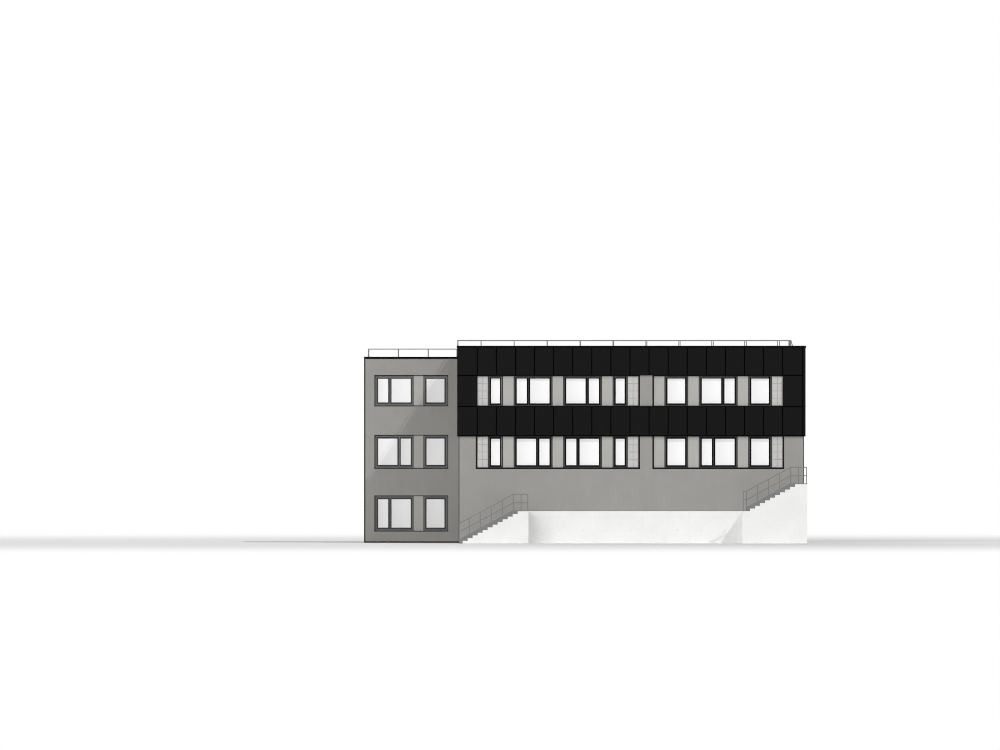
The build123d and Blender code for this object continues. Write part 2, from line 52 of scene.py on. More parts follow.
import bmesh
import bpy
import numpy as np
from bpy.props import FloatProperty, FloatVectorProperty, PointerProperty
from mathutils import Vector

BODY = "root"
SAME_PLACE = 1e-4
FLAT_ANGLE = math.radians(1)
SHARP_ANGLE = math.radians(30)
BEVEL_SEGMENTS = 2
NOISE_SPAN = (0.3, 0.7)


# The frame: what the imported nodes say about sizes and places

def triangles(node):
    """Corners of a node's triangles: an array of triangles by 3 corners by 3 coordinates."""
    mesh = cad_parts[node].data
    mesh.calc_loop_triangles()
    points = np.empty(len(mesh.vertices) * 3, np.float32)
    mesh.vertices.foreach_get("co", points)
    corners = np.empty(len(mesh.loop_triangles) * 3, np.int32)
    mesh.loop_triangles.foreach_get("vertices", corners)
    return points.reshape(-1, 3)[corners].reshape(-1, 3, 3)


def islands(found):
    """The box of each connected group of triangles, as a lowest and a highest corner."""
    keys = np.round(found.reshape(-1, 3) / SAME_PLACE).astype(np.int64)
    points, index = np.unique(keys, axis=0, return_inverse=True)
    corners = index.reshape(-1, 3)
    group = np.arange(len(points))
    while True:
        lowest = group.copy()
        np.minimum.at(lowest, corners, group[corners].min(1)[:, None])
        lowest = lowest[lowest]
        if (lowest == group).all():
            break
        group = lowest
    boxes = []
    for name in np.unique(group):
        members = points[group == name] * SAME_PLACE
        boxes.append((Vector(members.min(0)), Vector(members.max(0))))
    return boxes


def solids(node):
    """The box of each separate solid in a node."""
    return islands(triangles(node))


class Facade:
    """A wall seen from outside: u runs to the right, v is the level, d stands out of the wall."""

    def __init__(self, out):
        self.out = Vector(out)
        self.along = Vector((0, 0, 1)).cross(self.out)

    def place(self, u, v, d):
        return self.along * u + Vector((0, 0, v)) + self.out * d

    def local(self, box):
        """A box's lowest and highest u, v and d."""
        ends = [(self.along.dot(corner), corner.z, self.out.dot(corner)) for corner in box]
        return Vector(map(min, *ends)), Vector(map(max, *ends))

    def layer(self, node, order):
        """The local box of each flat face in one of the node's planes, counted from outside."""
        found = triangles(node)
        depth = np.round(found @ np.array(self.out) / SAME_PLACE)
        flat = depth.max(1) == depth.min(1)
        plane = np.unique(depth[flat])[-1 - order]
        return [self.local(box) for box in islands(found[flat & (depth.max(1) == plane)])]


FRONT = Facade((0, -1, 0))
BACK = Facade((0, 1, 0))
RIGHT = Facade((1, 0, 0))
LEFT = Facade((-1, 0, 0))
WALLS = {"front": FRONT, "back": BACK, "right": RIGHT, "wing_front": FRONT, "wing_back": BACK}


# Mesh making

def add_object(name, data):
    made = bpy.data.objects.new(name, data)
    bpy.context.scene.collection.objects.link(made)
    return made


def ring(low, high, inset, d):
    """The corners of a rectangle at depth d, all moved inwards."""
    u0, v0 = low[0] + inset, low[1] + inset
    u1, v1 = high[0] - inset, high[1] - inset
    return [(u0, v0, d), (u1, v0, d), (u1, v1, d), (u0, v1, d)]


class Form:
    """Faces collected in x, y, z, or in the u, v, d of the facade they are on, for one object."""

    def __init__(self, facade=None):
        self.mesh = bmesh.new()
        self.place = lambda x, y, z: Vector((x, y, z))
        if facade:
            self.on(facade)

    def on(self, facade):
        """The next faces are given in this facade's u, v and d."""
        self.place = facade.place

    def face(self, points, slot=0):
        made = self.mesh.faces.new([self.mesh.verts.new(self.place(*p)) for p in points])
        made.material_index = slot

    def between(self, one, other, slot=0):
        """Four faces from one loop of points to another."""
        for i in range(4):
            j = (i + 1) % 4
            self.face([one[i], one[j], other[j], other[i]], slot)

    def block(self, low, high, slot=0):
        """A closed box."""
        (a, b, c), (d, e, f) = low, high
        for points in (
            [(a, b, f), (d, b, f), (d, e, f), (a, e, f)],
            [(a, b, c), (a, e, c), (d, e, c), (d, b, c)],
            [(a, b, c), (d, b, c), (d, b, f), (a, b, f)],
            [(a, e, c), (a, e, f), (d, e, f), (d, e, c)],
            [(a, b, c), (a, b, f), (a, e, f), (a, e, c)],
            [(d, b, c), (d, e, c), (d, e, f), (d, b, f)],
        ):
            self.face(points, slot)

    def moulding(self, low, high, profile, slot=0):
        """A closed profile of (inset, d) points run round a rectangle, mitred at its corners."""
        loops = [ring(low, high, inset, d) for inset, d in profile]
        for one, other in zip(loops, loops[1:] + loops[:1]):
            self.between(one, other, slot)

    def plate(self, low, high, holes, slot=0):
        """A flat plate with square holes, each given as its lowest and highest corner."""
        us = sorted({low[0], high[0]} | {hole[k][0] for hole in holes for k in (0, 1)})
        vs = sorted({low[1], high[1]} | {hole[k][1] for hole in holes for k in (0, 1)})

        def filled(i, j):
            if not (0 <= i < len(us) - 1 and 0 <= j < len(vs) - 1):
                return False
            u, v = (us[i] + us[i + 1]) / 2, (vs[j] + vs[j + 1]) / 2
            return not any(a[0] < u < b[0] and a[1] < v < b[1] for a, b in holes)

        back, front = low[2], high[2]
        for i in range(len(us) - 1):
            for j in range(len(vs) - 1):
                if not filled(i, j):
                    continue
                u0, u1, v0, v1 = us[i], us[i + 1], vs[j], vs[j + 1]
                corners = [(u0, v0), (u1, v0), (u1, v1), (u0, v1)]
                self.face([(u, v, front) for u, v in corners], slot)
                self.face([(u, v, back) for u, v in reversed(corners)], slot)
                steps = [(0, -1), (1, 0), (0, 1), (-1, 0)]
                for k, (di, dj) in enumerate(steps):
                    if not filled(i + di, j + dj):
                        p, q = corners[k], corners[(k + 1) % 4]
                        self.face([(*p, front), (*p, back), (*q, back), (*q, front)], slot)

    def turn_out(self, name, finishes, bevel=0.0, closed=True):
        """The object, with one material for each slot number and its edges bevelled."""
        bmesh.ops.remove_doubles(self.mesh, verts=self.mesh.verts, dist=SAME_PLACE)
        if closed:
            bmesh.ops.recalc_face_normals(self.mesh, faces=self.mesh.faces)
        mesh = bpy.data.meshes.new(name)
        self.mesh.to_mesh(mesh)
        self.mesh.free()
        for finish in finishes:
            mesh.materials.append(material(finish))
        made = add_object(name, mesh)
        if bevel:
            add_bevel(made, bevel)
            settle(made)
        return made


def add_bevel(made, width):
    modifier = made.modifiers.new("Bevel", "BEVEL")
    modifier.width = width
    modifier.segments = BEVEL_SEGMENTS
    modifier.limit_method = "ANGLE"
    modifier.angle_limit = SHARP_ANGLE


def settle(made):
    """The object's modifiers become part of a plain mesh."""
    evaluated = made.evaluated_get(bpy.context.evaluated_depsgraph_get())
    mesh = bpy.data.meshes.new_from_object(evaluated)
    made.modifiers.clear()
    old = made.data
    made.data = mesh
    bpy.data.meshes.remove(old)


def drop_empty_slots(mesh):
    """The shapes that a node tree makes bring an empty material slot, which goes."""
    kept = [finish for finish in mesh.materials if finish]
    order = [kept.index(finish) if finish else 0 for finish in mesh.materials]
    slots = [order[face.material_index] for face in mesh.polygons]
    mesh.materials.clear()
    for finish in kept:
        mesh.materials.append(finish)
    mesh.polygons.foreach_set("material_index", slots)


def flat_copy(node, unwanted=lambda face: False):
    """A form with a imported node's faces, less the unwanted ones, where flat neighbours are joined."""
    form = Form()
    mesh = form.mesh
    mesh.from_mesh(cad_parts[node].data)
    bmesh.ops.remove_doubles(mesh, verts=mesh.verts, dist=SAME_PLACE)
    bmesh.ops.delete(mesh, geom=[face for face in mesh.faces if unwanted(face)], context="FACES")
    bmesh.ops.dissolve_limit(mesh, angle_limit=FLAT_ANGLE, verts=mesh.verts, edges=mesh.edges)
    for face in mesh.faces:
        face.material_index = 0
    return form


def softened(node, finish, bevel):
    """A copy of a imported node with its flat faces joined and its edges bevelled."""
    return flat_copy(node).turn_out(node + "_finish", [finish], bevel)


def seat(piece, slot, *nodes):
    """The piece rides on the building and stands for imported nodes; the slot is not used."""
    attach(piece, BODY)
    if nodes:
        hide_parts(*nodes)


# Node maths, for materials and for Geometry Nodes

class Link:
    """A node's output that adds its Math nodes when it stands in an expression."""

    def __init__(self, graph, socket):
        self.graph = graph
        self.socket = socket

    def other(self, output):
        """Another output of the same node."""
        return Link(self.graph, self.socket.node.outputs[output])

    def maths(self, operation, *values):
        inputs = dict(enumerate(values))
        return self.graph.node("ShaderNodeMath", {"operation": operation}, inputs)

    def function(self, operation):
        return self.maths(operation, self)

    def larger(self, other):
        return self.maths("MAXIMUM", self, other)

    def __add__(self, other):
        return self.maths("ADD", self, other)

    def __sub__(self, other):
        return self.maths("SUBTRACT", self, other)

    def __rsub__(self, other):
        return self.maths("SUBTRACT", other, self)

    def __mul__(self, other):
        return self.maths("MULTIPLY", self, other)

    def __truediv__(self, other):
        return self.maths("DIVIDE", self, other)

    __radd__ = __add__
    __rmul__ = __mul__


class Graph:
    """A node tree. node() adds any node: its settings first, then its sockets' values or links."""

    def __init__(self, tree):
        self.tree = tree

    def node(self, kind, settings=None, inputs=None, output=0):
        made = self.tree.nodes.new(kind)
        for name, value in (settings or {}).items():
            setattr(made, name, value)
        for key, value in (inputs or {}).items():
            self.feed(made.inputs[key], value)
        return Link(self, made.outputs[output])

    def feed(self, socket, value):
        if isinstance(value, Link):
            self.tree.links.new(value.socket, socket)
        else:
            socket.default_value = value


class Finish(Graph):
    """A material with one Principled shader."""

    def __init__(self, name):
        self.material = bpy.data.materials.new(name + "_finish")
        made_finishes[name] = self.material
        self.material.use_nodes = True
        super().__init__(self.material.node_tree)
        self.shader = self.tree.nodes["Principled BSDF"]
        self.place = self.node("ShaderNodeTexCoord", output="Object")

    def split(self):
        """The x, y and z of the place."""
        parts = self.node("ShaderNodeSeparateXYZ", inputs={0: self.place})
        return [parts.other(k) for k in range(3)]

    def noise(self, scale, detail=2.0, stretch=(1, 1, 1)):
        """Noise from 0 to 1, with scale in features a metre."""
        place = self.node("ShaderNodeMapping", inputs={"Vector": self.place, "Scale": stretch})
        return self.node("ShaderNodeTexNoise", inputs={"Vector": place, "Scale": scale, "Detail": detail})

    def cells(self, scale, output="Distance"):
        """Round cells, with scale in cells a metre."""
        return self.node("ShaderNodeTexVoronoi", inputs={"Vector": self.place, "Scale": scale}, output=output)

    def range(self, value, low, high, to_low=0.0, to_high=1.0):
        return self.node("ShaderNodeMapRange", inputs={
            "Value": value, "From Min": low, "From Max": high, "To Min": to_low, "To Max": to_high})

    def vary(self, noise, low=0.0, high=1.0):
        """A noise, stretched from the span that it mostly has to the given values."""
        return self.range(noise, *NOISE_SPAN, low, high)

    def mix(self, factor, first, second):
        """Two colours, mixed by a factor."""
        first = (*first, 1) if isinstance(first, tuple) else first
        second = (*second, 1) if isinstance(second, tuple) else second
        return self.node("ShaderNodeMix", {"data_type": "RGBA"}, {0: factor, 6: first, 7: second}, 2)

    def tones(self, factor, colour, dark, light):
        """A darker and a lighter tone of one colour, mixed by a factor."""
        return self.mix(factor, tone(colour, dark), tone(colour, light))

    def bump(self, height, distance, strength=1.0, normal=None):
        """A surface normal from a height that counts in the given distance."""
        inputs = {"Height": height, "Distance": distance, "Strength": strength}
        if normal:
            inputs["Normal"] = normal
        return self.node("ShaderNodeBump", inputs=inputs)

    def shade(self, **values):
        """Sets the shader's sockets, named with _ for a space."""
        for name, value in values.items():
            if isinstance(value, tuple):
                value = (*value, 1)
            self.feed(self.shader.inputs[name.replace("_", " ")], value)
        return self.material


def seen_directly(graph):
    """1 for what the camera sees, also in gloss and through glass, and 0 for what lights the building."""
    path = graph.node("ShaderNodeLightPath")
    camera, gloss, through = map(path.other, ("Is Camera Ray", "Is Glossy Ray", "Is Transmission Ray"))
    return camera.larger(gloss).larger(through)


def tone(colour, factor):
    """A colour made darker or lighter by a factor."""
    return tuple(part * factor for part in colour)


# Finishes

made_finishes = {}


def plaster(name, colour, grain):
    """Fine scraped render: a sandy grain, soft clouds and faint rain marks."""
    finish = Finish(name)
    clouds = finish.noise(0.9, detail=3)
    rain = finish.noise(2.2, stretch=(1, 1, 0.12))
    sand = finish.noise(260, detail=3)
    mottle = finish.vary(clouds * 0.5 + rain * 0.3 + sand * 0.2)
    coarse = finish.noise(90)
    height = sand + coarse * 0.6
    return finish.shade(
        Base_Color=finish.tones(mottle, colour, dark=0.95, light=1.05),
        Roughness=finish.vary(sand, 0.84, 0.96),
        Normal=finish.bump(height, grain),
        Specular_IOR_Level=0.2)


def cast_concrete(name, colour, panel_length, panel_height):
    """Fair-faced concrete: clouds, pores and the lines that the form panels leave. Pores, tie holes and form
    lines are painted darker as painted shade in these hollows.
    """
    groove_inner, groove_outer = 0.002, 0.008
    tie_inner, tie_outer = 0.018, 0.024
    finish = Finish(name)
    x, y, z = finish.split()

    def off_middle(value, pitch):
        """The distance from the middle of a field of the given pitch."""
        return (value / pitch).function("FRACT") * pitch - pitch / 2

    def groove(value, pitch):
        return finish.range(off_middle(value, pitch).function("ABSOLUTE"),
                            pitch / 2 - groove_outer, pitch / 2 - groove_inner)

    along, up = off_middle(x + y, panel_length / 2), off_middle(z, panel_height)
    tie = finish.range((along * along + up * up).function("SQRT"), tie_inner, tie_outer, 1.0, 0.0)
    lines = groove(x + y, panel_length).larger(groove(z, panel_height))
    clouds = finish.noise(0.8, detail=4)
    pores = finish.range(finish.cells(38), 0.0, 0.16, 1.0, 0.0)
    marks = finish.noise(9, detail=3)
    shade = finish.vary(clouds * 0.6 + marks * 0.4)
    base = finish.tones(shade, colour, dark=0.94, light=1.04)
    # worn: the pores and tie holes painted darker, as painted shade in these hollows
    worn = finish.mix(pores * 0.5, base, tone(colour, 0.6))
    worn = finish.mix(tie * 0.75, worn, tone(colour, 0.4))
    height = marks * 0.3 - pores * 0.6 - lines - tie * 3
    return finish.shade(
        # The form lines painted darker: painted shade in the grooves
        Base_Color=finish.mix(lines * 0.35, worn, tone(colour, 0.55)),
        Roughness=finish.vary(marks, 0.68, 0.86),
        Normal=finish.bump(height, 0.003),
        Specular_IOR_Level=0.3)


def coated_metal(name, colour, roughness, shine, waves=0.0):
    """Powder-coated sheet: a fine orange peel, a little dust and, on large sheets, slow waves."""
    finish = Finish(name)
    peel = finish.noise(420)
    dust = finish.noise(1.6, detail=4)
    panel = finish.node("ShaderNodeAttribute", {"attribute_name": "panel"}, output="Fac")
    spread = finish.range(dust * 0.6 + panel * 0.4, 0.2, 0.8)
    normal = finish.bump(peel, 0.0002, strength=0.5)
    if waves:
        normal = finish.bump(finish.noise(1.3, detail=1), waves, normal=normal)
    return finish.shade(
        Base_Color=finish.tones(spread, colour, dark=0.9, light=1.1),
        Roughness=finish.vary(dust, roughness - 0.05, roughness + 0.06),
        Normal=normal,
        Specular_IOR_Level=shine)


def galvanised(name, colour):
    """Hot-dip galvanised steel: crystal spangles in grey and in roughness."""
    finish = Finish(name)
    spangle = finish.node("ShaderNodeSeparateColor", inputs={0: finish.cells(75, "Color")})
    cloud = finish.noise(4, detail=3)
    grain = finish.noise(300)
    share = finish.range(spangle * 0.6 + cloud * 0.4, 0.2, 0.8)
    return finish.shade(
        Base_Color=finish.tones(share, colour, dark=0.86, light=1.12),
        Metallic=0.35,
        Roughness=finish.range(spangle, 0.0, 1.0, 0.42, 0.62),
        Normal=finish.bump(grain, 0.0002, strength=0.6))


def embossed_sheet(name, colour):
    """Pale coated sheet with fine upright ribs pressed into it and small holes between them; the holes are
    only bumped in and painted darker as painted shade.
    """
    rib_pitch, row_pitch = 0.03, 0.045
    finish = Finish(name)
    x, y, z = finish.split()
    wave = ((x + y) * (math.tau / rib_pitch)).function("SINE")
    rows = (z * (math.tau / row_pitch)).function("SINE")
    # holes: where the painted shade of the holes goes
    holes = finish.range(wave * rows, 0.55, 0.8)
    cloud = finish.noise(3, detail=3)
    base = finish.tones(cloud, colour, dark=0.96, light=1.04)
    return finish.shade(
        # Darker at the holes: painted shade
        Base_Color=finish.mix(holes * 0.5, base, tone(colour, 0.55)),
        Roughness=finish.vary(cloud, 0.42, 0.55),
        Normal=finish.bump(wave * 0.5 - holes, 0.003),
        Specular_IOR_Level=0.4)


def pane_glass(name, colour):
    """Painted reflection of daylight in a pane: a base colour pale at its left edge and white at its right,
    under a clear coat whose own reflection is real.
    """
    finish = Finish(name)
    across = finish.node("ShaderNodeUVMap", {"uv_map": "pane"})
    parts = finish.node("ShaderNodeSeparateXYZ", inputs={0: across})
    cloud = finish.noise(0.35)
    ripple = finish.noise(2.5, detail=1)
    # share runs from the pane's left edge to its right: the spread of the painted reflection
    share = finish.range(parts + cloud * 0.1, 0.0, 0.75)
    return finish.shade(
        # Base colour: painted reflection of daylight, not a colour of the glass itself
        Base_Color=finish.tones(share, colour, dark=0.9, light=1),
        Roughness=finish.vary(cloud, 0.08, 0.14),
        Coat_Weight=0.5,
        Coat_Roughness=0.03,
        Normal=finish.bump(ripple, 0.002, strength=0.3),
        Specular_IOR_Level=0.3)


def gravel_roof(name, colour):
    """Rounded roof gravel, 16 to 32 mm, in greys with a few warm stones, painted darker between the stones as
    their shade.
    """
    stones_a_metre = 30
    finish = Finish(name)
    stones = finish.cells(stones_a_metre)
    tint = finish.node("ShaderNodeSeparateColor", inputs={0: finish.cells(stones_a_metre, "Color")})
    clouds = finish.noise(0.5, detail=3)
    share = finish.range(tint * 0.7 + clouds * 0.3, 0.1, 0.9)
    base = finish.tones(share, colour, dark=0.6, light=1.35)
    # Where the stones meet: painted shade between the stones
    painted_gap_shade = finish.range(stones, 0.35, 0.75)
    return finish.shade(
        Base_Color=finish.mix(painted_gap_shade * 0.7, base, tone(colour, 0.35)),
        Roughness=finish.range(tint, 0.0, 1.0, 0.75, 0.95),
        Normal=finish.bump(1 - stones, 0.02),
        Specular_IOR_Level=0.25)


def roof_membrane(name, colour):
    """Grey roofing felt: a mineral grain and slow creases."""
    finish = Finish(name)
    grain = finish.noise(500)
    crease = finish.noise(2.5, detail=4)
    return finish.shade(
        Base_Color=finish.tones(finish.vary(crease * 0.5 + grain * 0.5), colour, dark=0.85, light=1.15),
        Roughness=finish.vary(grain, 0.8, 0.95),
        Normal=finish.bump(grain + crease * 2, 0.0015),
        Specular_IOR_Level=0.3)


def trowelled_floor(name, colour):
    """Smooth trowelled screed with soft clouds."""
    finish = Finish(name)
    clouds = finish.noise(1.4, detail=4)
    grain = finish.noise(180)
    return finish.shade(
        Base_Color=finish.tones(clouds, colour, dark=0.92, light=1.08),
        Roughness=finish.vary(clouds, 0.5, 0.68),
        Normal=finish.bump(grain, 0.0004))


def rubber(name, colour):
    """Black sealing rubber with a dusty bloom."""
    finish = Finish(name)
    bloom = finish.noise(30, detail=3)
    return finish.shade(
        Base_Color=finish.tones(bloom, colour, dark=1, light=1.8),
        Roughness=finish.vary(bloom, 0.7, 0.85),
        Normal=finish.bump(finish.noise(250), 0.0002),
        Specular_IOR_Level=0.03)


# Each finish: its maker, its colour in the panel, the tone of it, and the maker's own values
FINISHES = {
    "plaster": (plaster, "plaster", 1, {"grain": 0.0012}),
    "pale_render": (plaster, "pale_render", 1, {"grain": 0.0006}),
    "concrete": (cast_concrete, "concrete", 1, {"panel_length": 2.7, "panel_height": 1.5}),
    "step_concrete": (cast_concrete, "concrete", 1, {"panel_length": 40, "panel_height": 40}),
    "cladding": (coated_metal, "cladding", 1, {"roughness": 0.42, "shine": 0.06, "waves": 0.0012}),
    "membrane": (rubber, "cladding", 0.1, {}),
    "coping": (coated_metal, "coping", 1, {"roughness": 0.42, "shine": 0.03}),
    "surround": (coated_metal, "surround", 1, {"roughness": 0.45, "shine": 0.04}),
    "window_frame": (coated_metal, "window_frame", 1, {"roughness": 0.45, "shine": 0.15}),
    "wing_frame": (coated_metal, "wing_frame", 1, {"roughness": 0.45, "shine": 0.2}),
    "wing_sash": (coated_metal, "wing_sash", 1, {"roughness": 0.45, "shine": 0.1}),
    "sash": (coated_metal, "sash", 1, {"roughness": 0.45, "shine": 0.02}),
    "rubber": (rubber, "sash", 0.8, {}),
    "glass": (pane_glass, "glass", 1, {}),
    "screen": (embossed_sheet, "screen", 1, {}),
    # The screen's back sheet at 0.75 of its colour: painted shade in the gaps between the raised fields
    "screen_back": (coated_metal, "screen", 0.75, {"roughness": 0.5, "shine": 0.2}),
    "trim": (coated_metal, "trim", 1, {"roughness": 0.5, "shine": 0.1}),
    "rail": (galvanised, "rail", 1, {}),
    "stair_steel": (coated_metal, "stair_steel", 1, {"roughness": 0.45, "shine": 0.3}),
    "roofing": (gravel_roof, "roofing", 1, {}),
    "upstand": (roof_membrane, "roofing", 0.7, {}),
    "floor": (trowelled_floor, "floor", 1, {}),
}


def material(name):
    """The named finish, made at its first use with the colour from the panel."""
    if name not in made_finishes:
        maker, source, factor, values = FINISHES[name]
        maker(name, tone(getattr(bpy.context.scene.school_colours, source), factor), **values)
    return made_finishes[name]


# Geometry Nodes

class Tree(Graph):
    """A Geometry Nodes tree with named sizes, ended by Realize Instances and Set Material."""

    def __init__(self, name, sizes):
        super().__init__(bpy.data.node_groups.new(name, "GeometryNodeTree"))
        face = self.tree.interface
        face.new_socket("Geometry", in_out="INPUT", socket_type="NodeSocketGeometry")
        for title, size in sizes.items():
            face.new_socket(title, in_out="INPUT", socket_type="NodeSocketFloat").default_value = size
        face.new_socket("Geometry", in_out="OUTPUT", socket_type="NodeSocketGeometry")
        self.entry = self.tree.nodes.new("NodeGroupInput")

    def given(self, title="Geometry"):
        return Link(self, self.entry.outputs[title])

    def joined(self, *parts):
        made = self.node("GeometryNodeJoinGeometry")
        for part in parts:
            self.feed(made.socket.node.inputs[0], part)
        return made

    def close(self, geometry, finish):
        whole = self.node("GeometryNodeRealizeInstances", inputs={0: geometry})
        worn = self.node("GeometryNodeSetMaterial", inputs={
            "Geometry": whole, "Material": material(finish)})
        self.feed(self.tree.nodes.new("NodeGroupOutput").inputs[0], worn)

    def grow(self, made, sizes):
        """Runs the tree on an object and keeps the result as its plain mesh."""
        modifier = made.modifiers.new("Nodes", "NODES")
        modifier.node_group = self.tree
        for item in self.tree.interface.items_tree:
            if item.in_out == "INPUT" and item.name in sizes:
                modifier[item.identifier] = sizes[item.name]
        settle(made)
        drop_empty_slots(made.data)


def raised_panels(name, finish, seed):
    """Each face becomes a closed panel that stands out by Height and narrows by Taper."""
    tree = Tree(name, {"Height": 0.05, "Taper": 1.0})
    chance = tree.node("FunctionNodeRandomValue", {"data_type": "FLOAT"}, {"Seed": seed}, 1)
    marked = tree.node("GeometryNodeStoreNamedAttribute", {"data_type": "FLOAT", "domain": "FACE"},
                       {"Geometry": tree.given(), "Name": "panel", "Value": chance})
    raised = tree.node("GeometryNodeExtrudeMesh", {"mode": "FACES"},
                       {"Mesh": marked, "Offset Scale": tree.given("Height"), "Individual": True})
    top = raised.other("Top")
    narrowed = tree.node("GeometryNodeScaleElements", {"domain": "FACE"},
                         {"Geometry": raised, "Selection": top, "Scale": tree.given("Taper")})
    bottom = tree.node("GeometryNodeFlipFaces", inputs={"Mesh": marked})
    shut = tree.node("GeometryNodeMergeByDistance", inputs={
        "Geometry": tree.joined(narrowed, bottom), "Distance": SAME_PLACE})
    tree.close(shut, finish)
    return tree


def fixing_plates(name, finish):
    """A square foot plate with four hexagon bolts at each point."""
    bolt_spread = 0.7
    tree = Tree(name, {"Plate": 0.11, "Thickness": 0.01, "Bolt": 0.009, "Head": 0.008})
    plate, thickness = tree.given("Plate"), tree.given("Thickness")
    size = tree.node("ShaderNodeCombineXYZ", inputs={0: plate, 1: plate, 2: thickness})
    lift = tree.node("ShaderNodeCombineXYZ", inputs={2: thickness / 2})
    slab = tree.node("GeometryNodeTransform", inputs={
        "Geometry": tree.node("GeometryNodeMeshCube", inputs={"Size": size}), "Translation": lift})
    head = tree.node("GeometryNodeMeshCylinder", inputs={
        "Vertices": 6, "Radius": tree.given("Bolt"), "Depth": tree.given("Head")})
    corners = tree.node("GeometryNodeMeshGrid", inputs={
        "Size X": plate * bolt_spread, "Size Y": plate * bolt_spread, "Vertices X": 2, "Vertices Y": 2})
    bolts = tree.node("GeometryNodeInstanceOnPoints", inputs={"Points": corners, "Instance": head})
    rise = tree.node("ShaderNodeCombineXYZ", inputs={2: thickness + tree.given("Head") / 2})
    lifted = tree.node("GeometryNodeTransform", inputs={"Geometry": bolts, "Translation": rise})
    placed = tree.node("GeometryNodeInstanceOnPoints", inputs={
        "Points": tree.given(), "Instance": tree.joined(slab, lifted)})
    tree.close(placed, finish)
    return tree


def flat_plates(name, finish):
    """A flat plate at each point, with its middle there."""
    tree = Tree(name, {"Length X": 0.1, "Length Y": 0.5, "Thickness": 0.006})
    size = tree.node("ShaderNodeCombineXYZ", inputs={
        0: tree.given("Length X"), 1: tree.given("Length Y"), 2: tree.given("Thickness")})
    plate = tree.node("GeometryNodeMeshCube", inputs={"Size": size})
    placed = tree.node("GeometryNodeInstanceOnPoints", inputs={"Points": tree.given(), "Instance": plate})
    tree.close(placed, finish)
    return tree


def set_out(name, points, tree, sizes, slot):
    """The tree's plates at the given points, as one piece."""
    mesh = bpy.data.meshes.new(name)
    mesh.from_pydata(points, [], [])
    made = add_object(name, mesh)
    tree.grow(made, sizes)
    seat(made, slot)


# Settings

def colour_setting(name, description, default):
    return FloatVectorProperty(name=name, description=description, default=default, size=3, subtype="COLOR")


def length_setting(name, description, default):
    return FloatProperty(name=name, description=description, default=default, min=0, unit="LENGTH")


def strength_setting(name, description, default):
    return FloatProperty(name=name, description=description, default=default, min=0)


def travel_setting(name, description, default):
    return FloatVectorProperty(name=name, description=description, default=default, size=3, subtype="XYZ")


class SchoolColours(bpy.types.PropertyGroup):
    plaster: colour_setting("Plaster", "Rendered walls", (0.300, 0.296, 0.281))
    pale_render: colour_setting("Pale render", "Piers between the windows", (0.405, 0.400, 0.382))
    concrete: colour_setting("Concrete", "Foundations and stairs", (0.80, 0.80, 0.79))
    cladding: colour_setting("Cladding", "Black cassettes", (0.0037, 0.0037, 0.0037))
    coping: colour_setting("Coping", "Copings and base profiles of the cladding", (0.004, 0.004, 0.004))
    surround: colour_setting("Surround", "Surrounds of the window bands", (0.012, 0.012, 0.012))
    window_frame: colour_setting("Window frame", "Fixed frames and mullions", (0.055, 0.055, 0.055))
    wing_frame: colour_setting("Wing frame", "Fixed frames of the wing", (0.150, 0.150, 0.148))
    wing_sash: colour_setting("Wing sash", "Sashes of the wing", (0.060, 0.060, 0.059))
    trim: colour_setting("Trim", "Edge and base profiles of the render", (0.018, 0.018, 0.018))
    sash: colour_setting("Sash", "Sashes round the panes", (0.007, 0.007, 0.007))
    # The glass colour is a painted reflection of daylight, set as the panes' base colour
    glass: colour_setting("Glass", "Daylight mirrored in the panes", (0.90, 0.90, 0.90))
    screen: colour_setting("Screen", "Embossed sheets at the ends of the bands", (0.538, 0.528, 0.518))
    rail: colour_setting("Rail", "Guard rails of the roofs", (0.20, 0.20, 0.195))
    stair_steel: colour_setting("Stair steel", "Strings and railings of the stairs", (0.19, 0.19, 0.19))
    roofing: colour_setting("Roofing", "Gravel on the roofs", (0.30, 0.295, 0.285))
    floor: colour_setting("Floor", "Floors inside", (0.42, 0.41, 0.39))


